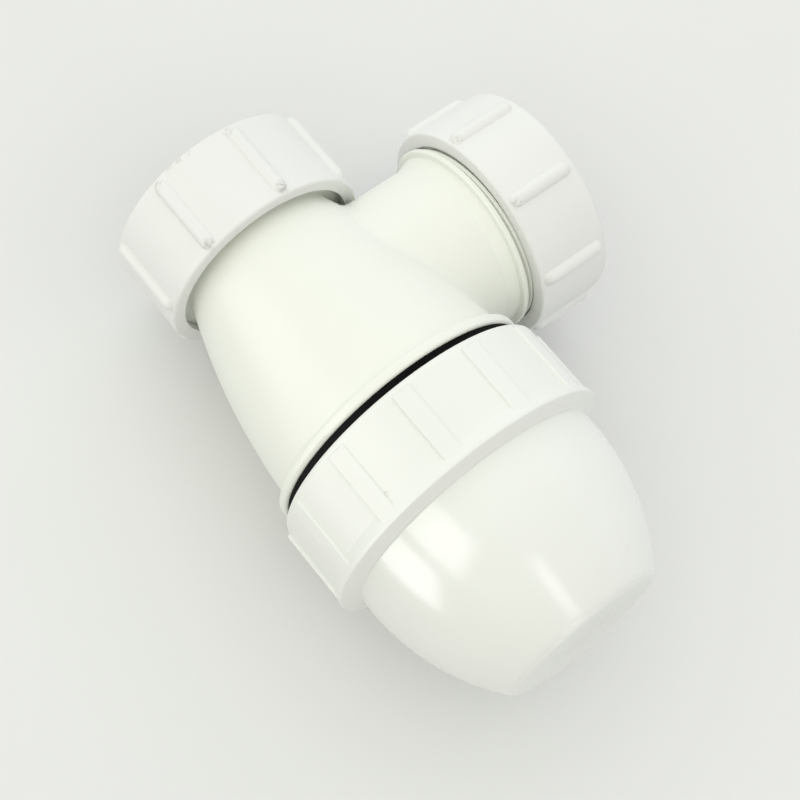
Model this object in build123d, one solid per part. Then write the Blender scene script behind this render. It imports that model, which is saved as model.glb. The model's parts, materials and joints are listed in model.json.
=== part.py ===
"""Bottle trap for a sink: a domed body with a side outlet, a dip tube, a screw-on cup and two coupling nuts.

The origin is the centre of the inlet washer's upper face, where the waste's tail seats. +Z is up, out of the
inlet, and +X runs along the outlet.
"""
import os
from math import isclose

from build123d import *

# Clearances
running_gap = 0.3
thread_play = 0.4
tail_play = 0.1
pipe_play = 0.4
seal_play = 0.1
slip_play = 0.2
lip_play = 0.5

# Inlet: the waste's tail, the captive nut and what it clamps
tail_thread_radius = 23.9
tail_thread_length = 13.2
inlet_mouth_chamfer = 1.5
inlet_nut_wall = 2.7
inlet_lip_thickness = 2.5
inlet_lip_grip = 0.5
washer_thickness = 3.0
washer_inset = 0.5
tube_flange_thickness = 1.4
neck_flange_thickness = 2.2
neck_flange_overhang = 2.0
neck_length = 1.2

# Dip tube
tube_bore_radius = 17.4
tube_wall = 2.0
water_seal = 50.0
tube_end_chamfer = 0.6

# Body shell
body_wall = 2.6
dome_base_radius = 34.0
dome_bulge = 2.3
seat_flange_width = 2.8
seat_flange_thickness = 3.0
seat_flange_round = 1.2
seat_flange_under_round = 0.9
seat_flange_cove = 1.6

# Outlet branch
pipe_radius = 20.0
branch_wall = 2.9
branch_clearance = 0.5
branch_to_flange = 6.4
branch_blend = 3.0
branch_reach = 41.0
pipe_stop_step = 2.4
pipe_depth = 21.0
stop_flare_length = 3.4
stop_flare_height = 1.3
stop_ring_width = 1.6
stop_ring_height = 3.0
stop_ring_round = 0.5

# Outlet thread, compression nut and seals
outlet_thread_pitch = 4.0
outlet_thread_turns = 3
outlet_thread_depth = 1.4
outlet_root_step = 0.9
outlet_runout = 1.4
outlet_nut_gap = 1.6
outlet_nut_wall = 3.7
outlet_lip_thickness = 3.2
mouth_edge_width = 1.2
mouth_cone_depth = 6.0
cone_nose_length = 3.5
cone_head_thickness = 3.4
cone_head_inset = 1.4
slip_ring_thickness = 1.4
slip_ring_inset = 0.8

# Cup thread, seal ring and collar
cup_thread_pitch = 5.0
cup_thread_turns = 3
cup_thread_depth = 1.6
cup_spigot_step = 1.4
cup_thread_lead = 3.0
cup_end_gap = 3.2
cup_seal_thickness = 2.2
cup_seal_width = 1.4
collar_wall = 4.2
collar_floor = 2.6
collar_rim_round = 1.8
collar_lip_height = 1.0
collar_lip_overhang = 1.2
collar_lip_round = 0.35
collar_flare_height = 3.0
collar_shoulder_drop = 1.9
collar_rib_count = 12
collar_rib_width = 5.0
collar_rib_height = 0.9
collar_rib_round = 0.35
collar_rib_drop = 2.2
collar_rib_angle = -103.7

# Cup below its collar
cup_wall = 2.4
cup_ledge = 1.8
cup_depth = 40.8
cup_base_radius = 21.6
cup_base_thickness = 2.6
cup_bulge = 4.0
cup_corner_round = 5.0
cup_inner_round = 3.0

# Half-round ribs and rounded edges of the two nuts
nut_rib_count = 8
nut_rib_radius = 2.1
nut_rib_margin = 0.8
nut_edge_round = 0.6
inlet_rib_height = 1.5
inlet_rib_angle = -80.3
outlet_rib_height = 1.6
outlet_rib_setback = 1.6
outlet_rib_angle = 19.5

# Heights of the inlet stack, from the seat downwards
inlet_seat_z = 0.0
washer_bottom_z = inlet_seat_z - washer_thickness
neck_top_z = washer_bottom_z - tube_flange_thickness
neck_flange_bottom_z = neck_top_z - neck_flange_thickness
inlet_lip_top_z = neck_flange_bottom_z - running_gap
inlet_nut_bottom_z = inlet_lip_top_z - inlet_lip_thickness
inlet_nut_top_z = inlet_seat_z + tail_thread_length + inlet_mouth_chamfer
dome_top_z = neck_flange_bottom_z - neck_length

# Radii around the upright axis
inlet_bore_radius = tail_thread_radius + tail_play
washer_radius = tail_thread_radius - washer_inset
tube_radius = tube_bore_radius + tube_wall
neck_bore_radius = tube_radius + running_gap
neck_radius = neck_bore_radius + body_wall
neck_flange_radius = max(inlet_bore_radius, neck_radius) + neck_flange_overhang
inlet_relief_radius = neck_flange_radius + running_gap
inlet_nut_radius = inlet_relief_radius + inlet_nut_wall
seat_flange_radius = dome_base_radius + seat_flange_width
cup_spigot_radius = dome_base_radius - cup_spigot_step
cup_bore_radius = cup_spigot_radius + cup_thread_depth + thread_play
cup_seal_inner_radius = cup_bore_radius - slip_play
collar_radius = cup_bore_radius + collar_wall
collar_lip_radius = collar_radius + collar_lip_overhang
cup_inner_radius = cup_bore_radius - cup_ledge
cup_radius = cup_inner_radius + cup_wall

# Radii around the outlet's axis
socket_radius = pipe_radius + pipe_play
branch_radius = socket_radius + branch_wall
waterway_radius = socket_radius - pipe_stop_step
stop_ring_radius = branch_radius + stop_ring_height
outlet_root_radius = branch_radius + outlet_root_step
outlet_bore_radius = outlet_root_radius + outlet_thread_depth + thread_play
outlet_nut_radius = outlet_bore_radius + outlet_nut_wall
mouth_radius = outlet_root_radius - mouth_edge_width

# Heights of the outlet, the seat flange and the cup
outlet_z = inlet_nut_bottom_z - branch_clearance - branch_radius
seat_flange_top_z = outlet_z - branch_radius - branch_to_flange
cup_seat_z = seat_flange_top_z - seat_flange_thickness
cup_rim_z = cup_seat_z - cup_seal_thickness
cup_spigot_end_z = cup_rim_z - cup_thread_lead - cup_thread_turns * cup_thread_pitch
cup_ledge_z = cup_spigot_end_z - cup_end_gap
collar_bottom_z = cup_ledge_z - collar_floor
collar_lip_top_z = collar_bottom_z + collar_lip_height
collar_flare_top_z = collar_lip_top_z + collar_flare_height
cup_shoulder_z = collar_bottom_z - collar_shoulder_drop
cup_base_z = cup_shoulder_z - cup_depth
tube_end_z = outlet_z - waterway_radius - water_seal

# Distances along the outlet, from the upright axis
stop_ring_start_x = branch_reach + stop_flare_length
stop_ring_end_x = stop_ring_start_x + stop_ring_width
outlet_nut_start_x = stop_ring_end_x + outlet_nut_gap
outlet_end_x = outlet_nut_start_x + outlet_thread_turns * outlet_thread_pitch + outlet_runout
pipe_stop_x = outlet_end_x - pipe_depth
cone_head_x = outlet_end_x + running_gap
slip_ring_x = cone_head_x + cone_head_thickness
outlet_lip_x = slip_ring_x + slip_ring_thickness
outlet_nut_end_x = outlet_lip_x + outlet_lip_thickness


def turned(*outline):
    """Turn a closed outline of (radius, height) edges around the upright axis."""
    return revolve(Plane.XZ * make_face(outline), Axis.Z)


def turned_polygon(*points):
    """Turn a closed polygon of (radius, height) points around the upright axis."""
    return turned(Polyline(*points, close=True))


def ring(inner_radius, outer_radius, bottom, top):
    """A plain ring around the upright axis."""
    return turned_polygon((inner_radius, bottom), (outer_radius, bottom), (outer_radius, top), (inner_radius, top))


def disc(radius, bottom, top):
    """A plain cylinder around the upright axis."""
    return turned_polygon((0, bottom), (radius, bottom), (radius, top), (0, top))


def along_outlet(part):
    """Lay an upright part along the outlet, so that its heights become distances along +X."""
    return Pos(0, 0, outlet_z) * Rot(0, 90, 0) * part


def round_edges(part, radius, *places):
    """Round the circular edges of an upright part that lie at the given (radius, height) places."""
    def is_wanted(edge):
        if edge.geom_type != GeomType.CIRCLE:
            return False
        centre = edge.arc_center
        return any(
            isclose(edge.radius, place_radius, abs_tol=0.01) and isclose(centre.Z, height, abs_tol=0.01)
            for place_radius, height in places
        )
    return fillet(part.edges().filter_by(is_wanted), radius)


def half_round_ribs(radius, rib_height, low, high, first_angle):
    """Evenly spaced half-round ribs with rounded ends, standing proud of a nut's outer wall."""
    capsule = turned(
        Line((0, low), (0, high)),
        RadiusArc((0, high), (nut_rib_radius, high - nut_rib_radius), nut_rib_radius),
        Line((nut_rib_radius, high - nut_rib_radius), (nut_rib_radius, low + nut_rib_radius)),
        RadiusArc((nut_rib_radius, low + nut_rib_radius), (0, low), nut_rib_radius),
    )
    centre_radius = radius + rib_height - nut_rib_radius
    return [place * capsule for place in PolarLocations(centre_radius, nut_rib_count, first_angle)]


def trap_body():
    """Body moulding: neck, dome, seat flange, outlet branch and both threaded spigots."""
    shell = turned(
        Polyline(
            (neck_radius, dome_top_z),
            (neck_radius, neck_flange_bottom_z),
            (neck_flange_radius, neck_flange_bottom_z),
            (neck_flange_radius, neck_top_z),
            (0, neck_top_z),
            (0, cup_spigot_end_z),
            (cup_spigot_radius, cup_spigot_end_z),
            (cup_spigot_radius, cup_seat_z),
            (seat_flange_radius, cup_seat_z),
            (seat_flange_radius, seat_flange_top_z),
            (dome_base_radius, seat_flange_top_z),
        ),
        SagittaArc((dome_base_radius, seat_flange_top_z), (neck_radius, dome_top_z), -dome_bulge),
    )
    shell = round_edges(shell, seat_flange_round, (seat_flange_radius, seat_flange_top_z))
    shell = round_edges(shell, seat_flange_under_round, (seat_flange_radius, cup_seat_z))
    shell = round_edges(shell, seat_flange_cove, (dome_base_radius, seat_flange_top_z))
    branch = along_outlet(outlet_branch())
    joined = shell + branch
    joined = fillet(new_edges(shell, branch, combined=joined), branch_blend)
    return joined - body_cavity() - along_outlet(outlet_bore())


def outlet_branch():
    """Outside of the outlet branch, upright: flared tube, stop ring and threaded spigot at its root radius."""
    branch = turned_polygon(
        (0, 0),
        (branch_radius, 0),
        (branch_radius, branch_reach),
        (branch_radius + stop_flare_height, stop_ring_start_x),
        (stop_ring_radius, stop_ring_start_x),
        (stop_ring_radius, stop_ring_end_x),
        (outlet_root_radius, stop_ring_end_x),
        (outlet_root_radius, outlet_end_x),
        (0, outlet_end_x),
    )
    return round_edges(
        branch, stop_ring_round, (stop_ring_radius, stop_ring_start_x), (stop_ring_radius, stop_ring_end_x)
    )


def outlet_bore():
    """Inside of the outlet branch, upright: waterway, pipe socket and the cone that the seal is pressed into."""
    return turned_polygon(
        (0, 0),
        (waterway_radius, 0),
        (waterway_radius, pipe_stop_x),
        (socket_radius, pipe_stop_x),
        (socket_radius, outlet_end_x - mouth_cone_depth),
        (mouth_radius, outlet_end_x),
        (0, outlet_end_x),
    )


def body_cavity():
    """Inside of the body: cup spigot, dome and the neck's bore for the dip tube."""
    spigot_inner_radius = cup_spigot_radius - body_wall
    dome_inner_radius = dome_base_radius - body_wall
    return turned(
        Polyline(
            (neck_bore_radius, dome_top_z),
            (neck_bore_radius, neck_top_z),
            (0, neck_top_z),
            (0, cup_spigot_end_z),
            (spigot_inner_radius, cup_spigot_end_z),
            (spigot_inner_radius, cup_seat_z),
            (dome_inner_radius, seat_flange_top_z),
        ),
        SagittaArc((dome_inner_radius, seat_flange_top_z), (neck_bore_radius, dome_top_z), -dome_bulge),
    )


def dip_tube():
    """Tube that hangs from its flange on the neck and reaches below the outlet by the water seal."""
    tube = turned_polygon(
        (tube_bore_radius, washer_bottom_z),
        (washer_radius, washer_bottom_z),
        (washer_radius, neck_top_z),
        (tube_radius, neck_top_z),
        (tube_radius, tube_end_z + tube_end_chamfer),
        (tube_radius - tube_end_chamfer, tube_end_z),
        (tube_bore_radius, tube_end_z),
    )
    return tube


def inlet_washer():
    """Flat rubber washer between the dip tube's flange and the waste's tail."""
    return ring(tube_bore_radius, washer_radius, washer_bottom_z, inlet_seat_z)


def inlet_nut():
    """Captive coupling nut: thread bore above the seat, relief around the neck flange and a retaining lip."""
    barrel = disc(inlet_nut_radius, inlet_nut_bottom_z, inlet_nut_top_z)
    barrel = round_edges(
        barrel, nut_edge_round, (inlet_nut_radius, inlet_nut_bottom_z), (inlet_nut_radius, inlet_nut_top_z)
    )
    barrel += half_round_ribs(
        inlet_nut_radius,
        inlet_rib_height,
        inlet_nut_bottom_z + nut_rib_margin,
        inlet_nut_top_z - nut_rib_margin,
        inlet_rib_angle,
    )
    lip_radius = neck_flange_radius - inlet_lip_grip
    return barrel - turned_polygon(
        (0, inlet_nut_bottom_z),
        (lip_radius, inlet_nut_bottom_z),
        (lip_radius, inlet_lip_top_z),
        (inlet_relief_radius, inlet_lip_top_z),
        (inlet_relief_radius, inlet_seat_z),
        (inlet_bore_radius, inlet_seat_z),
        (inlet_bore_radius, inlet_nut_top_z - inlet_mouth_chamfer),
        (inlet_bore_radius + inlet_mouth_chamfer, inlet_nut_top_z),
        (0, inlet_nut_top_z),
    )


def outlet_nut():
    """Compression nut: thread bore from its open end and a lip that presses the slip ring."""
    barrel = disc(outlet_nut_radius, outlet_nut_start_x, outlet_nut_end_x)
    barrel = round_edges(
        barrel, nut_edge_round, (outlet_nut_radius, outlet_nut_start_x), (outlet_nut_radius, outlet_nut_end_x)
    )
    barrel += half_round_ribs(
        outlet_nut_radius,
        outlet_rib_height,
        outlet_nut_start_x + nut_rib_margin,
        outlet_nut_end_x - outlet_rib_setback,
        outlet_rib_angle,
    )
    lip_radius = socket_radius + lip_play
    return along_outlet(barrel - turned_polygon(
        (0, outlet_nut_start_x),
        (outlet_bore_radius, outlet_nut_start_x),
        (outlet_bore_radius, outlet_lip_x),
        (lip_radius, outlet_lip_x),
        (lip_radius, outlet_nut_end_x),
        (0, outlet_nut_end_x),
    ))


def outlet_cone_seal():
    """Tapered rubber seal: a nose inside the spigot's mouth and a flat head behind it."""
    inner_radius = socket_radius + seal_play
    taper = (mouth_radius - socket_radius) / mouth_cone_depth
    nose_x = outlet_end_x - cone_nose_length
    root_radius = mouth_radius - running_gap
    head_radius = outlet_bore_radius - cone_head_inset
    return along_outlet(turned_polygon(
        (inner_radius, nose_x),
        (root_radius - cone_nose_length * taper, nose_x),
        (root_radius, outlet_end_x),
        (root_radius, cone_head_x),
        (head_radius, cone_head_x),
        (head_radius, slip_ring_x),
        (inner_radius, slip_ring_x),
    ))


def outlet_slip_ring():
    """Thin plastic ring between the seal and the outlet nut's lip."""
    inner_radius = socket_radius + slip_play
    return along_outlet(ring(inner_radius, outlet_bore_radius - slip_ring_inset, slip_ring_x, outlet_lip_x))


def cup_seal():
    """Rubber ring between the seat flange and the cup's rim."""
    return ring(cup_seal_inner_radius, cup_seal_inner_radius + cup_seal_width, cup_rim_z, cup_seat_z)


def cup():
    """Cup moulding: threaded and ribbed collar that flares to a lip, and the domed bowl below it."""
    outside = turned(
        Polyline(
            (cup_radius, cup_shoulder_z),
            (collar_lip_radius, collar_bottom_z),
            (collar_lip_radius, collar_lip_top_z),
            (collar_radius, collar_flare_top_z),
            (collar_radius, cup_rim_z),
            (0, cup_rim_z),
            (0, cup_base_z),
            (cup_base_radius, cup_base_z),
        ),
        SagittaArc((cup_base_radius, cup_base_z), (cup_radius, cup_shoulder_z), -cup_bulge),
    )
    outside = round_edges(outside, cup_corner_round, (cup_base_radius, cup_base_z))
    outside = round_edges(outside, collar_rim_round, (collar_radius, cup_rim_z))
    outside = round_edges(
        outside, collar_lip_round, (collar_lip_radius, collar_bottom_z), (collar_lip_radius, collar_lip_top_z)
    )
    return outside + collar_ribs() - cup_cavity()


def collar_ribs():
    """Flat grip ribs around the collar, from below its rim until they sink into the flare above its lip."""
    rib_top_z = cup_rim_z - collar_rib_drop
    rib_radius = collar_radius + collar_rib_height
    band = ring(cup_bore_radius, rib_radius, collar_lip_top_z, rib_top_z)
    blank = Pos(rib_radius, 0, (collar_lip_top_z + rib_top_z) / 2) * Box(
        2 * collar_wall, collar_rib_width, rib_top_z - collar_lip_top_z
    )
    rib = band & blank
    outer_face = rib.faces().sort_by(Axis.X)[-1]
    rib = fillet(outer_face.edges(), collar_rib_round)
    return [Rot(0, 0, place.orientation.Z) * rib for place in PolarLocations(1, collar_rib_count, collar_rib_angle)]


def cup_cavity():
    """Inside of the cup: thread bore, ledge below it and the bowl."""
    bowl_floor_z = cup_base_z + cup_base_thickness
    floor_radius = cup_base_radius - cup_wall
    cavity = turned(
        Polyline(
            (cup_inner_radius, cup_shoulder_z),
            (cup_inner_radius, cup_ledge_z),
            (cup_bore_radius, cup_ledge_z),
            (cup_bore_radius, cup_rim_z),
            (0, cup_rim_z),
            (0, bowl_floor_z),
            (floor_radius, bowl_floor_z),
        ),
        SagittaArc((floor_radius, bowl_floor_z), (cup_inner_radius, cup_shoulder_z), -cup_bulge),
    )
    return round_edges(cavity, cup_inner_round, (floor_radius, bowl_floor_z))


makers = (
    trap_body,
    dip_tube,
    inlet_washer,
    inlet_nut,
    outlet_nut,
    outlet_cone_seal,
    outlet_slip_ring,
    cup_seal,
    cup,
)

os.makedirs("parts", exist_ok=True)
for maker in makers:
    export_step(maker(), f"parts/{maker.__name__}.step")
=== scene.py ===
"""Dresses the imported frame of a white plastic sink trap: finishes, screw threads, floor, lamps and camera.

Lengths are metres in the part's own frame: the origin is the seat of the inlet, +Z leaves the inlet and
+X runs out of the outlet.
"""

from __future__ import annotations

import json
import logging
import math
from dataclasses import dataclass, field
from enum import Enum
from typing import Any

import bmesh
import bpy
from mathutils import Matrix, Vector

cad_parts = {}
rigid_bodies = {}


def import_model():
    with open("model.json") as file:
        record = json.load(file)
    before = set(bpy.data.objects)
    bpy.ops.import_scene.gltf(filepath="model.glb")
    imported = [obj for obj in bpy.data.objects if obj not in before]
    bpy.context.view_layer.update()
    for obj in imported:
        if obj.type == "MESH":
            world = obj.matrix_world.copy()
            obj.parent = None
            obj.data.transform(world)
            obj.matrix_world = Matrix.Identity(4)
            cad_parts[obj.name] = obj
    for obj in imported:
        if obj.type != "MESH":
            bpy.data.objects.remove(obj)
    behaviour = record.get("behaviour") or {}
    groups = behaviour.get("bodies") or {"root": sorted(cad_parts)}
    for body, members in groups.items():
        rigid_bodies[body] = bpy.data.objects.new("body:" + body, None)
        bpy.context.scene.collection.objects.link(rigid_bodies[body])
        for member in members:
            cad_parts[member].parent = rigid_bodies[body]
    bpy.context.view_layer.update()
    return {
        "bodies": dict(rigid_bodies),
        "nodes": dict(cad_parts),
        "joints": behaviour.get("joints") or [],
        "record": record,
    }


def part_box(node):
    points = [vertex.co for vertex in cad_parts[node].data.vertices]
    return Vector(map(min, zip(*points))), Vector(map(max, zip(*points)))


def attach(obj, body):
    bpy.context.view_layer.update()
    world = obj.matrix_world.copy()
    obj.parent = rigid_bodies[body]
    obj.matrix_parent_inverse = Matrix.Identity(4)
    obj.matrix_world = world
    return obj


LOG = logging.getLogger("sink_trap")
MM = 0.001
UP = Vector((0.0, 0.0, 1.0))

Colour = tuple[float, float, float]
Point = tuple[float, float, float]
Frame = dict[str, Any]

BLACK: Colour = (0.0, 0.0, 0.0)


class Contrast(Enum):
    """How sharply a noise is cut: the two noise values that become the ends of its range."""

    SOFT = (0.3, 0.7)
    CLOUDY = (0.35, 0.65)
    BLOOMED = (0.4, 0.7)
    RAGGED = (0.42, 0.58)


class NodeSheet:
    """A node tree, with short calls that add nodes and fill their inputs."""

    def __init__(self, tree: bpy.types.NodeTree) -> None:
        """Takes a tree over and empties it."""
        self.tree = tree
        self.tree.nodes.clear()

    def node(self, kind: str, inputs: dict[Any, Any] | None = None, **settings: Any) -> bpy.types.Node:
        """Adds a node.

        Args:
            kind: the node's Blender type.
            inputs: values or sockets for its inputs, by name or index.
            settings: the node's own properties.

        Returns:
            The new node.
        """
        made = self.tree.nodes.new(kind)
        for key, value in settings.items():
            setattr(made, key, value)
        for key, value in (inputs or {}).items():
            self.feed(made.inputs[key], value)
        return made

    def feed(self, socket: bpy.types.NodeSocket, value: Any) -> None:
        """Links a socket to another one, or sets its value.

        Args:
            socket: the input to fill.
            value: an output socket, a number, or a colour or vector of three.
        """
        if isinstance(value, bpy.types.NodeSocket):
            self.tree.links.new(value, socket)
        elif isinstance(value, tuple) and socket.type == "RGBA":
            socket.default_value = (*value, 1.0)
        else:
            socket.default_value = value

    def maths(self, operation: str, first: Any, second: Any = 0.0) -> bpy.types.NodeSocket:
        """Works out one number from two."""
        return self.node("ShaderNodeMath", {0: first, 1: second}, operation=operation).outputs[0]

    def vectors(self, operation: str, first: Any, second: Any) -> bpy.types.NodeOutputs:
        """Works something out from two vectors and gives the node's outputs."""
        return self.node("ShaderNodeVectorMath", {0: first, 1: second}, operation=operation).outputs

    def blend(self, share: Any, first: Any, second: Any) -> bpy.types.NodeSocket:
        """Mixes two colours.

        Args:
            share: how much of the second colour shows.
            first: the colour at a share of 0.
            second: the colour at a share of 1.

        Returns:
            The mixed colour.
        """
        mix = self.node("ShaderNodeMix", data_type="RGBA")
        colours = [socket for socket in mix.inputs if socket.type == "RGBA"]
        for socket, value in zip((mix.inputs[0], *colours), (share, first, second)):
            self.feed(socket, value)
        return next(socket for socket in mix.outputs if socket.type == "RGBA")


class ShaderSheet(NodeSheet):
    """A material's node tree, with short calls for what the finishes share."""

    def __init__(self, name: str) -> None:
        """Starts an empty tree that reads Object coordinates.

        Args:
            name: the material's name.
        """
        self.material = bpy.data.materials.new(name)
        self.material.use_nodes = True
        super().__init__(self.material.node_tree)
        self.place = self.node("ShaderNodeTexCoord").outputs["Object"]

    def noise(self, size: float, detail: float) -> bpy.types.NodeSocket:
        """Gives soft noise over the surface.

        Args:
            size: the width of its patches.
            detail: how many finer layers it carries.

        Returns:
            A value that wanders about 0.5.
        """
        inputs = {"Vector": self.place, "Scale": 1.0 / size, "Detail": detail}
        return self.node("ShaderNodeTexNoise", inputs).outputs[0]

    def span(self, value: Any, low: float, high: float, start: float, end: float) -> bpy.types.NodeSocket:
        """Maps a value from one range to another, held at both ends.

        Args:
            value: the socket to map.
            low: the value that gives start.
            high: the value that gives end.
            start: the result at low.
            end: the result at high.

        Returns:
            The mapped value.
        """
        inputs = {"Value": value, "From Min": low, "From Max": high, "To Min": start, "To Max": end}
        return self.node("ShaderNodeMapRange", inputs).outputs[0]

    def patches(self, size: float, detail: float, contrast: Contrast, start: float = 0.0,
                end: float = 1.0) -> bpy.types.NodeSocket:
        """Gives noise that is cut to a range.

        Args:
            size: the width of its patches.
            detail: how many finer layers it carries.
            contrast: how sharply it is cut.
            start: the result where the noise is low.
            end: the result where the noise is high.

        Returns:
            The cut noise.
        """
        return self.span(self.noise(size, detail), *contrast.value, start, end)

    def step(self, value: Any, middle: float, half: float, below: float,
             above: float) -> bpy.types.NodeSocket:
        """Changes from one number to another where a value passes its middle.

        Args:
            value: the socket that decides.
            middle: where the change is half done.
            half: how far to each side of that it reaches.
            below: the result under the change.
            above: the result over the change.

        Returns:
            The number at each point.
        """
        return self.span(value, middle - half, middle + half, below, above)

    def sum_of(self, first: Any, second: Any) -> bpy.types.NodeSocket:
        """Adds two values and holds the result between 0 and 1."""
        inputs = {0: first, 1: second}
        return self.node("ShaderNodeMath", inputs, operation="ADD", use_clamp=True).outputs[0]

    def relief(self, layers: list[tuple[bpy.types.NodeSocket, float]]) -> bpy.types.NodeSocket:
        """Turns heights into one bumped normal.

        Args:
            layers: each layer's height value and how deep it is in metres.

        Returns:
            The bumped normal.
        """
        normal = None
        for height, depth in layers:
            bump = self.node("ShaderNodeBump", {"Height": height, "Distance": depth, "Strength": 1.0})
            if normal is not None:
                self.feed(bump.inputs["Normal"], normal)
            normal = bump.outputs["Normal"]
        return normal

    def finish(self, shader: bpy.types.Node) -> bpy.types.Material:
        """Puts a shader on the surface and hands the material over."""
        self.node("ShaderNodeOutputMaterial", {"Surface": shader.outputs[0]})
        return self.material


@dataclass(frozen=True)
class Scuff:
    """A rubbed or dirty spot on a moulding, at full strength over its core and fading out to its reach."""

    place: Point
    reach: float
    strength: float
    core: float = 0.3


NUT_SCUFFS = (
    Scuff((-13.1 * MM, -25.8 * MM, 14.5 * MM), 1.5 * MM, 0.26),
    Scuff((-10.3 * MM, -27.0 * MM, 14.2 * MM), 1.3 * MM, 0.34),
    Scuff((-7.5 * MM, -27.9 * MM, 14.0 * MM), 1.2 * MM, 0.22),
    Scuff((-17.2 * MM, -24.1 * MM, 12.9 * MM), 2.0 * MM, 0.35),
    Scuff((-17.3 * MM, -24.0 * MM, -8.0 * MM), 2.2 * MM, 0.4),
    Scuff((3.9 * MM, -29.3 * MM, 12.8 * MM), 2.0 * MM, 0.3),
    Scuff((5.0 * MM, -29.2 * MM, -7.6 * MM), 2.2 * MM, 0.45),
    Scuff((-29.4 * MM, -3.4 * MM, -7.4 * MM), 2.0 * MM, 0.3),
    Scuff((66.8 * MM, -26.6 * MM, -18.7 * MM), 1.5 * MM, 0.6),
    Scuff((49.7 * MM, -28.3 * MM, -44.1 * MM), 1.9 * MM, 0.35),
    Scuff((49.4 * MM, -27.8 * MM, -21.2 * MM), 1.9 * MM, 0.3),
    Scuff((50.1 * MM, -13.0 * MM, -60.6 * MM), 1.9 * MM, 0.3),
)
CUP_SCUFFS = (
    Scuff((-24.9 * MM, -29.9 * MM, -85.9 * MM), 0.8 * MM, 0.6),
    Scuff((13.9 * MM, -22.8 * MM, -127.4 * MM), 1.6 * MM, 0.07),
    Scuff((3.0 * MM, -2.0 * MM, -134.6 * MM), 21.0 * MM, 0.11),
)


@dataclass(frozen=True)
class MouldedPlastic:
    """White plastic as it comes from a mould: faintly clouded, finely grained and lightly handled.

    Below polished_below, where that is given, the mould was polished and the plastic is glossy, down to the
    foot that it stands on, which is matt again.
    """

    name: str
    tint: Colour
    shade: Colour
    roughness: float
    roughness_spread: float = 0.03
    gloss: float = 0.5
    index: float = 1.49
    polished_below: float | None = None
    polished_border: float = 0.2 * MM
    polished_roughness: float = 0.19
    foot_top: float = -134.0 * MM
    foot_border: float = 0.4 * MM
    cloud_size: float = 26 * MM
    handled_size: float = 6 * MM
    ripple_size: float = 9 * MM
    ripple_depth: float = 0.02 * MM
    grain_size: float = 0.45 * MM
    grain_depth: float = 0.004 * MM
    speck_spacing: float = 7 * MM
    speck_size: float = 0.16 * MM
    speck_core: float = 0.4
    speck_strength: float = 0.35
    dirt: Colour = (0.30, 0.28, 0.24)
    dirt_ragged_size: float = 0.9 * MM
    dirt_roughness: float = 0.3
    scuffs: tuple[Scuff, ...] = ()

    def specks(self, sheet: ShaderSheet) -> bpy.types.NodeSocket:
        """Gives the share of dust at each point: a few small specks, none of them regular.

        Args:
            sheet: the material's nodes.

        Returns:
            The share of dust.
        """
        inputs = {"Vector": sheet.place, "Scale": 1.0 / self.speck_spacing}
        gap = sheet.node("ShaderNodeTexVoronoi", inputs).outputs["Distance"]
        reach = self.speck_size / self.speck_spacing
        return sheet.span(gap, self.speck_core * reach, reach, self.speck_strength, 0.0)

    def marks(self, sheet: ShaderSheet) -> bpy.types.NodeSocket:
        """Gives the share of dirt at each point: the specks and the named scuffs.

        Args:
            sheet: the material's nodes.

        Returns:
            The share of dirt.
        """
        dirt = self.specks(sheet)
        ragged = sheet.patches(self.dirt_ragged_size, detail=4.0, contrast=Contrast.RAGGED)
        for scuff in self.scuffs:
            gap = sheet.vectors("DISTANCE", sheet.place, scuff.place)["Value"]
            near = sheet.span(gap, scuff.core * scuff.reach, scuff.reach, scuff.strength, 0.0)
            dirt = sheet.sum_of(dirt, sheet.maths("MULTIPLY", near, ragged))
        return dirt

    def sheen(self, sheet: ShaderSheet) -> bpy.types.NodeSocket:
        """Gives the roughness of the clean plastic at each point.

        Args:
            sheet: the material's nodes.

        Returns:
            The roughness.
        """
        spread = self.roughness_spread
        handled = sheet.patches(self.handled_size, detail=4.0, contrast=Contrast.SOFT, start=-spread,
                                end=spread)
        level: Any = self.roughness
        if self.polished_below is not None:
            height = sheet.node("ShaderNodeSeparateXYZ", {0: sheet.place}).outputs["Z"]
            bowl = sheet.step(height, self.polished_below, self.polished_border,
                              below=self.polished_roughness, above=self.roughness)
            foot = sheet.step(height, self.foot_top, self.foot_border,
                              below=self.roughness - self.polished_roughness, above=0.0)
            level = sheet.sum_of(bowl, foot)
        return sheet.sum_of(level, handled)

    def material(self) -> bpy.types.Material:
        """Builds the finish.

        Returns:
            The material.
        """
        sheet = ShaderSheet(self.name)
        cloud = sheet.patches(self.cloud_size, detail=3.0, contrast=Contrast.CLOUDY)
        dirt = self.marks(sheet)
        clean = sheet.blend(cloud, self.tint, self.shade)
        shader = sheet.node("ShaderNodeBsdfPrincipled", {
            "Base Color": sheet.blend(dirt, clean, self.dirt),
            "Roughness": sheet.sum_of(self.sheen(sheet),
                                      sheet.maths("MULTIPLY", dirt, self.dirt_roughness)),
            "Normal": sheet.relief([
                (sheet.noise(self.ripple_size, detail=1.0), self.ripple_depth),
                (sheet.noise(self.grain_size, detail=2.0), self.grain_depth),
            ]),
            "IOR": self.index,
            "Specular IOR Level": self.gloss,
        })
        return sheet.finish(shader)


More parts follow.
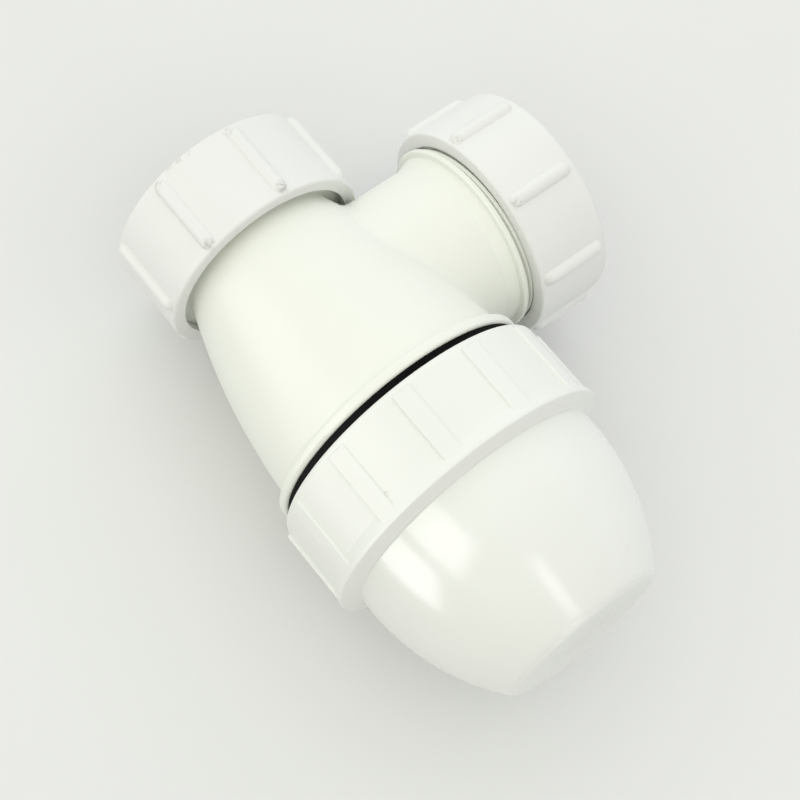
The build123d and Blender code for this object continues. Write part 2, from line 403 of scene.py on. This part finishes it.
@dataclass(frozen=True)
class BlackRubber:
    """Moulded black rubber with a grey bloom and a fine skin."""

    name: str = "black_rubber"
    tint: Colour = (0.003, 0.003, 0.0031)
    bloom: Colour = (0.006, 0.006, 0.0063)
    clean_roughness: float = 0.52
    bloom_roughness: float = 0.72
    gloss: float = 0.06
    bloom_size: float = 5 * MM
    skin_size: float = 0.3 * MM
    skin_depth: float = 0.008 * MM

    def material(self) -> bpy.types.Material:
        """Builds the finish.

        Returns:
            The material.
        """
        sheet = ShaderSheet(self.name)
        bloom = sheet.patches(self.bloom_size, detail=4.0, contrast=Contrast.BLOOMED)
        shader = sheet.node("ShaderNodeBsdfPrincipled", {
            "Base Color": sheet.blend(bloom, self.tint, self.bloom),
            "Roughness": sheet.span(bloom, 0.0, 1.0, self.clean_roughness, self.bloom_roughness),
            "Normal": sheet.relief([(sheet.noise(self.skin_size, detail=2.0), self.skin_depth)]),
            "Specular IOR Level": self.gloss,
        })
        return sheet.finish(shader)


class Slot(Enum):
    """The record's material slots."""

    BODY = "body_plastic"
    TUBE = "tube_plastic"
    NUT = "nut_plastic"
    RING = "ring_plastic"
    CUP = "cup_plastic"
    RUBBER = "rubber"


@dataclass
class FinishBook:
    """One finish for each material slot, each made a material the first time that it is asked for."""

    finishes: dict[Slot, MouldedPlastic | BlackRubber] = field(default_factory=lambda: {
        Slot.BODY: MouldedPlastic("body_white", (0.855, 0.873, 0.81), (0.84, 0.858, 0.795), 0.38),
        Slot.TUBE: MouldedPlastic("tube_white", (0.84, 0.85, 0.81), (0.82, 0.83, 0.795), 0.34),
        Slot.NUT: MouldedPlastic("nut_white", (0.82, 0.824, 0.81), (0.805, 0.809, 0.795), 0.5, gloss=0.4,
                                 scuffs=NUT_SCUFFS),
        Slot.RING: MouldedPlastic("ring_white", (0.80, 0.81, 0.80), (0.78, 0.79, 0.785), 0.4),
        Slot.CUP: MouldedPlastic("cup_white", (0.848, 0.861, 0.825), (0.833, 0.846, 0.812), 0.46,
                                 polished_below=-93.4 * MM, ripple_depth=0.006 * MM, grain_depth=0.001 * MM,
                                 scuffs=CUP_SCUFFS),
        Slot.RUBBER: BlackRubber(),
    })
    made: dict[Slot, bpy.types.Material] = field(default_factory=dict)

    def material(self, slot: Slot) -> bpy.types.Material:
        """Gives a slot's material.

        Args:
            slot: the record's slot.

        Returns:
            The material, the same one for every piece of the slot.
        """
        if slot not in self.made:
            self.made[slot] = self.finishes[slot].material()
        return self.made[slot]

    def dress(self, frame: Frame, node: str, slot: Slot) -> None:
        """Gives a CAD node its finish.

        Args:
            node: the CAD node's name.
            slot: the slot whose finish it takes.
        """
        slots = frame["nodes"][node].data.materials
        slots.clear()
        slots.append(self.material(slot))
        LOG.info("dressed %s in %s", node, slot.value)


class ThreadSide(Enum):
    """Which of two mating threads a ridge belongs to, as the direction in which it stands off its wall."""

    SPIGOT = 1
    BORE = -1


@dataclass(frozen=True)
class RidgeForm:
    """The cross-section of a thread's ridge, and how it runs out at its ends."""

    depth: float
    base_width: float
    crest_width: float
    corner: float
    root: float = 0.25 * MM
    fade: float = 0.06
    steps_per_turn: int = 96


class RidgeTree(NodeSheet):
    """A Geometry Nodes tree that winds a ridge round the Z axis as a right-hand screw."""

    LENGTHS = ("Radius", "Pitch", "Start", "Run", "Phase", "Depth", "Root", "Base Width", "Crest Width",
               "Corner", "Fade")
    CORNER_STEPS = 3
    END_SCALE = 0.08

    def __init__(self) -> None:
        """Builds the tree with its named inputs."""
        super().__init__(bpy.data.node_groups.new("screw_ridge", "GeometryNodeTree"))
        face = self.tree.interface
        for name in self.LENGTHS:
            face.new_socket(name, in_out="INPUT", socket_type="NodeSocketFloat")
        face.new_socket("Steps", in_out="INPUT", socket_type="NodeSocketInt")
        face.new_socket("Material", in_out="INPUT", socket_type="NodeSocketMaterial")
        face.new_socket("Geometry", in_out="OUTPUT", socket_type="NodeSocketGeometry")
        self.given = self.node("NodeGroupInput").outputs
        self.wire()

    def vector(self, x: Any = 0.0, y: Any = 0.0, z: Any = 0.0) -> bpy.types.NodeSocket:
        """Makes a vector from three numbers."""
        return self.node("ShaderNodeCombineXYZ", {"X": x, "Y": y, "Z": z}).outputs[0]

    def path(self, along: bpy.types.NodeSocket) -> bpy.types.NodeSocket:
        """Winds the screw line.

        Args:
            along: how far along its run each point is, from 0 to 1.

        Returns:
            The line, with its normals pointing away from the axis.
        """
        rise = self.maths("MULTIPLY", along, self.given["Run"])
        turn = self.maths("MULTIPLY", self.maths("DIVIDE", rise, self.given["Pitch"]), math.tau)
        angle = self.maths("ADD", turn, self.given["Phase"])
        outward = self.vector(self.maths("COSINE", angle), self.maths("SINE", angle))
        scaled = {0: outward, "Scale": self.given["Radius"]}
        ring = self.node("ShaderNodeVectorMath", scaled, operation="SCALE").outputs[0]
        lift = self.vector(z=self.maths("ADD", self.given["Start"], rise))
        place = self.vectors("ADD", ring, lift)[0]
        line = self.node("GeometryNodeCurvePrimitiveLine").outputs[0]
        sampled = {"Curve": line, "Count": self.given["Steps"]}
        points = self.node("GeometryNodeResampleCurve", sampled).outputs[0]
        wound = self.node("GeometryNodeSetPosition", {"Geometry": points, "Position": place}).outputs[0]
        normals = {"Curve": wound, "Normal": outward}
        return self.node("GeometryNodeSetCurveNormal", normals, mode="FREE").outputs[0]

    def section(self) -> bpy.types.NodeSocket:
        """Draws the ridge's cross-section.

        Returns:
            A trapezium that is set a little into its wall, with its corners rounded.
        """
        root, crest = self.given["Root"], self.given["Depth"]
        half_base = self.maths("MULTIPLY", self.given["Base Width"], 0.5)
        half_crest = self.maths("MULTIPLY", self.given["Crest Width"], 0.5)
        corners = {
            "Point 1": self.vector(root, self.maths("MULTIPLY", half_base, -1.0)),
            "Point 2": self.vector(crest, self.maths("MULTIPLY", half_crest, -1.0)),
            "Point 3": self.vector(crest, half_crest),
            "Point 4": self.vector(root, half_base),
        }
        outline = self.node("GeometryNodeCurvePrimitiveQuadrilateral", corners, mode="POINTS")
        rounded = self.node("GeometryNodeFilletCurve", {
            "Curve": outline.outputs[0], "Count": self.CORNER_STEPS, "Radius": self.given["Corner"],
            "Limit Radius": True,
        }, mode="POLY")
        return rounded.outputs[0]

    def wire(self) -> None:
        """Joins the path, the cross-section and the run-out into one closed mesh."""
        along = self.node("GeometryNodeSplineParameter").outputs["Factor"]
        nearer = self.maths("MINIMUM", along, self.maths("SUBTRACT", 1.0, along))
        runout = self.node("ShaderNodeMapRange", {
            "Value": nearer, "From Max": self.given["Fade"], "To Min": self.END_SCALE,
        }, interpolation_type="SMOOTHSTEP").outputs[0]
        ridge = self.node("GeometryNodeCurveToMesh", {
            "Curve": self.path(along), "Profile Curve": self.section(), "Scale": runout, "Fill Caps": True,
        })
        real = self.node("GeometryNodeRealizeInstances", {"Geometry": ridge.outputs[0]})
        dressed = self.node("GeometryNodeSetMaterial", {
            "Geometry": real.outputs[0], "Material": self.given["Material"],
        })
        self.node("NodeGroupOutput", {"Geometry": dressed.outputs[0]})

    def bake(self, name: str, values: dict[str, Any]) -> bpy.types.Mesh:
        """Runs the tree once and keeps its result as a plain mesh.

        Args:
            name: the mesh's name.
            values: a value for each named input.

        Returns:
            The closed mesh, with its faces outwards.
        """
        carrier = bpy.data.objects.new(f"{name}_carrier", bpy.data.meshes.new(f"{name}_carrier"))
        bpy.context.scene.collection.objects.link(carrier)
        modifier = carrier.modifiers.new("screw_ridge", "NODES")
        modifier.node_group = self.tree
        for item in self.tree.interface.items_tree:
            if item.item_type == "SOCKET" and item.in_out == "INPUT":
                modifier[item.identifier] = values[item.name]
        graph = bpy.context.evaluated_depsgraph_get()
        mesh = bpy.data.meshes.new_from_object(carrier.evaluated_get(graph), depsgraph=graph)
        mesh.name = name
        carrier.modifiers.clear()
        bpy.data.objects.remove(carrier)
        shell = bmesh.new()
        shell.from_mesh(mesh)
        bmesh.ops.recalc_face_normals(shell, faces=shell.faces)
        shell.to_mesh(mesh)
        shell.free()
        return mesh


@dataclass(frozen=True)
class ScrewThread:
    """One wound ridge on a spigot or in a bore."""

    name: str
    side: ThreadSide
    form: RidgeForm
    radius: float
    pitch: float
    start: float
    end: float
    stand: Matrix = field(default_factory=lambda: Matrix.Identity(4))
    sharp_angle: float = math.radians(50)

    def build(self, tree: RidgeTree, book: FinishBook, slot: Slot, body: str) -> bpy.types.Object:
        """Winds the ridge and lets it ride on its body.

        Mating ridges share one screw line, half a pitch apart, so that each runs in the other's groove.

        Args:
            tree: the ridge's node tree.
            book: the finishes.
            slot: the slot whose finish it takes.
            body: the body that carries it.

        Returns:
            The ridge's object.
        """
        run, way = self.end - self.start, self.side.value
        half_turn = math.pi if self.side is ThreadSide.BORE else 0.0
        mesh = tree.bake(self.name, {
            "Radius": self.radius, "Pitch": self.pitch, "Start": self.start, "Run": run,
            "Phase": (math.tau * self.start / self.pitch + half_turn) % math.tau,
            "Depth": way * self.form.depth, "Root": -way * self.form.root,
            "Base Width": self.form.base_width, "Crest Width": self.form.crest_width,
            "Corner": self.form.corner, "Fade": self.form.fade,
            "Steps": math.ceil(self.form.steps_per_turn * run / self.pitch),
            "Material": book.material(slot),
        })
        mesh.transform(self.stand)
        mesh.shade_smooth()
        mesh.set_sharp_from_angle(angle=self.sharp_angle)
        piece = bpy.data.objects.new(self.name, mesh)
        bpy.context.scene.collection.objects.link(piece)
        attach(piece, body)
        LOG.info("wound %s on %s: %d faces", self.name, body, len(mesh.polygons))
        return piece


def pitch_of(frame: Frame, joint: str) -> float:
    """Reads a screw's pitch from the coupling that its turn drives.

    Args:
        joint: the joint that turns.

    Returns:
        How far one whole turn moves the screw.
    """
    couplings = frame["record"]["behaviour"]["couplings"]
    return math.tau * next(entry["ratio"] for entry in couplings if entry["follows"] == joint)


@dataclass
class TrapBody:
    """The moulded body and the dip tube inside it."""

    body: str = "trap_body"
    tube: str = "dip_tube"

    def build(self, frame: Frame, book: FinishBook) -> None:
        """Dresses the body and the tube.

        Args:
            book: the finishes.
        """
        book.dress(frame, self.body, Slot.BODY)
        book.dress(frame, self.tube, Slot.TUBE)


@dataclass
class InletCoupling:
    """The swivel nut at the inlet, with its pipe thread and washer."""

    body: str = "inlet_nut"
    washer: str = "inlet_washer"
    bore: float = 24.0 * MM
    pitch: float = 2.309 * MM
    start: float = 1.2 * MM
    end: float = 12.6 * MM
    form: RidgeForm = RidgeForm(depth=1.48 * MM, base_width=2.2 * MM, crest_width=0.55 * MM,
                                corner=0.16 * MM, fade=0.05)

    def build(self, frame: Frame, book: FinishBook, tree: RidgeTree) -> None:
        """Dresses the nut and the washer, and winds the nut's thread.

        Args:
            book: the finishes.
            tree: the ridges' node tree.
        """
        book.dress(frame, self.body, Slot.NUT)
        book.dress(frame, self.washer, Slot.RUBBER)
        thread = ScrewThread("inlet_nut_thread", ThreadSide.BORE, self.form, self.bore, self.pitch,
                             self.start, self.end)
        thread.build(tree, book, Slot.NUT, self.body)


@dataclass
class OutletCoupling:
    """The compression nut at the outlet, its two rings, and the thread that it runs on."""

    body: str = "outlet_nut"
    slip_ring: str = "outlet_slip_ring"
    cone_seal: str = "outlet_cone_seal"
    carrier: str = "trap_body"
    joint: str = "outlet_nut_turn"
    root_radius: float = 24.2 * MM
    bore: float = 26.0 * MM
    spigot_start: float = 45.5 * MM
    spigot_end: float = 60.4 * MM
    bore_start: float = 48.1 * MM
    bore_end: float = 60.2 * MM
    form: RidgeForm = RidgeForm(depth=1.4 * MM, base_width=1.9 * MM, crest_width=1.0 * MM, corner=0.22 * MM)

    def build(self, frame: Frame, book: FinishBook, tree: RidgeTree) -> None:
        """Dresses the nut and its rings, and winds both threads.

        Args:
            book: the finishes.
            tree: the ridges' node tree.
        """
        book.dress(frame, self.body, Slot.NUT)
        book.dress(frame, self.slip_ring, Slot.RING)
        book.dress(frame, self.cone_seal, Slot.RUBBER)
        pitch = pitch_of(frame, self.joint)
        low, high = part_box(self.slip_ring)
        axis_height = (low[2] + high[2]) / 2
        stand = Matrix.Translation((0.0, 0.0, axis_height)) @ Matrix.Rotation(math.pi / 2, 4, "Y")
        spigot = ScrewThread("outlet_spigot_thread", ThreadSide.SPIGOT, self.form, self.root_radius, pitch,
                             self.spigot_start, self.spigot_end, stand)
        spigot.build(tree, book, Slot.BODY, self.carrier)
        thread = ScrewThread("outlet_nut_thread", ThreadSide.BORE, self.form, self.bore, pitch,
                             self.bore_start, self.bore_end, stand)
        thread.build(tree, book, Slot.NUT, self.body)


@dataclass
class BottleCup:
    """The screw-off cup with its collar and seal, and the thread that it runs on."""

    body: str = "cup"
    seal: str = "cup_seal"
    carrier: str = "trap_body"
    joint: str = "cup_turn"
    root_radius: float = 32.6 * MM
    bore: float = 34.6 * MM
    spigot_margin: float = 1.4 * MM
    rim_margin: float = 2.2 * MM
    thread_length: float = 14.4 * MM
    form: RidgeForm = RidgeForm(depth=1.6 * MM, base_width=2.3 * MM, crest_width=1.2 * MM, corner=0.25 * MM)

    def build(self, frame: Frame, book: FinishBook, tree: RidgeTree) -> None:
        """Dresses the cup and its seal, and winds both threads.

        Args:
            book: the finishes.
            tree: the ridges' node tree.
        """
        book.dress(frame, self.body, Slot.CUP)
        book.dress(frame, self.seal, Slot.RUBBER)
        pitch = pitch_of(frame, self.joint)
        spigot_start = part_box(self.carrier)[0][2] + self.spigot_margin
        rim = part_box(self.body)[1][2] - self.rim_margin
        spigot = ScrewThread("cup_spigot_thread", ThreadSide.SPIGOT, self.form, self.root_radius, pitch,
                             spigot_start, spigot_start + self.thread_length)
        spigot.build(tree, book, Slot.BODY, self.carrier)
        thread = ScrewThread("cup_thread", ThreadSide.BORE, self.form, self.bore, pitch,
                             rim - self.thread_length, rim)
        thread.build(tree, book, Slot.CUP, self.body)


@dataclass(frozen=True)
class SheenLamp:
    """A bright rectangle that the gloss mirrors; its directions are right, up and towards the camera."""

    name: str
    way: Point
    along: Point
    length: float
    width: float
    level: float
    distance: float = 1.2

    @property
    def watts(self) -> float:
        """The power that gives the lamp its level at the trap."""
        return self.level * math.pi**2 * self.distance**2


@dataclass(frozen=True)
class RoomLight:
    """The soft light of a room, as the colour that comes from each side of the picture.

    None comes from behind.
    """

    right: Colour
    left: Colour
    upper: Colour
    lower: Colour
    front: Colour
    back: Colour = BLACK

    def pairs(self) -> tuple[tuple[Colour, Colour], ...]:
        """Gives each axis's two colours: right and left, upper and lower, front and back."""
        return (self.right, self.left), (self.upper, self.lower), (self.front, self.back)


@dataclass
class Studio:
    """The pale floor that the trap lies on, the soft light over it and the camera."""

    camera_place: Point = (-146.146 * MM, -402.884 * MM, -186.238 * MM)
    camera_aim: Point = (3.36 * MM, 0.0, -60.11 * MM)
    camera_roll: float = math.radians(-40.4)
    lens_mm: float = 81.0
    sensor_mm: float = 36.0
    nearest: float = 0.01
    farthest: float = 20.0
    floor_normal: Point = (0.048, 0.994, 0.093)
    floor_gap: float = 0.6 * MM
    floor_half: float = 2.0
    floor_tint: Colour = (0.784, 0.787, 0.79)
    paper_size: float = 90 * MM
    paper_shade: float = 0.985
    room: RoomLight = RoomLight(
        right=(0.62, 0.62, 0.67), left=(0.82, 0.83, 0.79),
        upper=(1.21, 1.23, 1.27), lower=(0.25, 0.23, 0.31),
        front=(1.30, 1.31, 1.17),
    )
    room_seen: Colour = (0.80, 0.81, 0.78)
    lamps: tuple[SheenLamp, ...] = (
        SheenLamp("window_side", way=(-0.94, 0.22, 0.25), along=(0.25, 0.3, 0.5),
                  length=0.85, width=0.65, level=0.30),
        SheenLamp("window_low", way=(-0.81, -0.49, 0.28), along=(0.288, -0.321, 0.262),
                  length=0.66, width=0.56, level=0.41),
        SheenLamp("window_high", way=(-0.61, -0.15, 0.78), along=(0.358, -0.314, 0.208),
                  length=0.72, width=0.66, level=0.42),
        SheenLamp("strip", way=(0.45, -0.325, 0.828), along=(0.285, -0.428, -0.324),
                  length=0.66, width=0.2, level=0.098),
        SheenLamp("edge", way=(0.61, -0.74, 0.02), along=(-0.03, 0.15, 0.9),
                  length=1.15, width=0.32, level=0.10),
    )

    def axes(self) -> Matrix:
        """Works out how the camera stands.

        Returns:
            A turn whose columns are the camera's right, up and backward directions.
        """
        ahead = (Vector(self.camera_aim) - Vector(self.camera_place)).normalized()
        level = ahead.cross(UP).normalized()
        upright = level.cross(ahead)
        right = math.cos(self.camera_roll) * level + math.sin(self.camera_roll) * upright
        return Matrix((right, right.cross(ahead), -ahead)).transposed()

    def add_camera(self) -> None:
        """Puts the camera where the photograph was taken from."""
        data = bpy.data.cameras.new("camera")
        data.lens, data.sensor_width = self.lens_mm, self.sensor_mm
        data.clip_start, data.clip_end = self.nearest, self.farthest
        camera = bpy.data.objects.new("camera", data)
        camera.matrix_world = Matrix.Translation(self.camera_place) @ self.axes().to_4x4()
        bpy.context.scene.collection.objects.link(camera)
        bpy.context.scene.camera = camera

    def add_lamps(self) -> None:
        """Hangs the lamps round the trap, where its gloss mirrors them and nothing else sees them."""
        axes, aim = self.axes(), Vector(self.camera_aim)
        for lamp in self.lamps:
            back = (axes @ Vector(lamp.way)).normalized()
            side = back.cross(axes @ Vector(lamp.along)).normalized()
            turn = Matrix((side.cross(back), side, back)).transposed()
            data = bpy.data.lights.new(lamp.name, "AREA")
            data.shape, data.size, data.size_y = "RECTANGLE", lamp.length, lamp.width
            data.energy = lamp.watts
            data.cycles.use_multiple_importance_sampling = False
            light = bpy.data.objects.new(lamp.name, data)
            light.matrix_world = Matrix.Translation(aim + back * lamp.distance) @ turn.to_4x4()
            light.visible_camera = False
            light.visible_diffuse = False
            bpy.context.scene.collection.objects.link(light)

    def add_world(self) -> None:
        """Lights the room from its sides, each side's colour fading into the next."""
        world = bpy.data.worlds.new("room")
        bpy.context.scene.world = world
        world.use_nodes = True
        sheet = NodeSheet(world.node_tree)
        way = sheet.node("ShaderNodeTexCoord").outputs["Generated"]
        total: Any = BLACK
        for axis, (ahead, behind) in zip(self.axes().col, self.room.pairs()):
            reach = sheet.vectors("DOT_PRODUCT", way, axis)["Value"]
            share = sheet.maths("MULTIPLY", reach, reach)
            facing = sheet.maths("GREATER_THAN", reach, 0.0)
            lit = sheet.vectors("MULTIPLY", sheet.blend(facing, behind, ahead), share)[0]
            total = sheet.vectors("ADD", total, lit)[0]
        rays = sheet.node("ShaderNodeLightPath").outputs
        seen = rays["Is Camera Ray"]
        for ray in ("Is Glossy Ray", "Is Transmission Ray"):
            seen = sheet.maths("MAXIMUM", seen, rays[ray])
        light = sheet.node("ShaderNodeBackground", {"Color": sheet.blend(seen, total, self.room_seen)})
        sheet.node("ShaderNodeOutputWorld", {"Surface": light.outputs[0]})

    def floor_material(self) -> bpy.types.Material:
        """Builds the floor's finish: pale paper from above, open from below and to the lamps' own light.

        Returns:
            The material.
        """
        sheet = ShaderSheet("floor_paper")
        tone = sheet.patches(self.paper_size, detail=2.0, contrast=Contrast.SOFT, start=self.paper_shade)
        paper = sheet.node("ShaderNodeBsdfDiffuse", {"Color": sheet.blend(tone, BLACK, self.floor_tint)})
        below = sheet.node("ShaderNodeNewGeometry").outputs["Backfacing"]
        lamplight = sheet.node("ShaderNodeLightPath").outputs["Is Shadow Ray"]
        clear = sheet.node("ShaderNodeBsdfTransparent")
        return sheet.finish(sheet.node("ShaderNodeMixShader", {
            0: sheet.sum_of(below, lamplight), 1: paper.outputs[0], 2: clear.outputs[0],
        }))

    def add_floor(self, frame: Frame) -> None:
        """Lays the floor against the trap's far side, where it rests.
        """
        normal = Vector(self.floor_normal).normalized()
        vertices = (vertex for node in frame["nodes"].values() for vertex in node.data.vertices)
        reach = max(normal.dot(vertex.co) for vertex in vertices)
        centre = Vector(self.camera_aim)
        centre += normal * (reach + self.floor_gap - normal.dot(centre))
        side = normal.cross(UP).normalized() * self.floor_half
        rise = side.cross(normal).normalized() * self.floor_half
        corners = [centre - side - rise, centre + side - rise, centre + side + rise, centre - side + rise]
        mesh = bpy.data.meshes.new("floor")
        mesh.from_pydata(corners, [], [(0, 1, 2, 3)])
        if mesh.polygons[0].normal.dot(normal) > 0.0:
            mesh.flip_normals()
        mesh.materials.append(self.floor_material())
        floor = bpy.data.objects.new("floor", mesh)
        bpy.context.scene.collection.objects.link(floor)

    def set_up(self, frame: Frame) -> None:
        """Sets the floor, the light, the camera and the view.
        """
        self.add_camera()
        self.add_world()
        self.add_lamps()
        self.add_floor(frame)
        bpy.context.scene.view_settings.view_transform = "Standard"


def main() -> None:
    """Loads the frame, dresses it, adds the threads and sets up the studio."""
    logging.basicConfig(level=logging.INFO, format="%(name)s: %(message)s")
    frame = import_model()
    book, tree = FinishBook(), RidgeTree()
    TrapBody().build(frame, book)
    InletCoupling().build(frame, book, tree)
    OutletCoupling().build(frame, book, tree)
    BottleCup().build(frame, book, tree)
    Studio().set_up(frame)


if __name__ == "__main__":
    main()
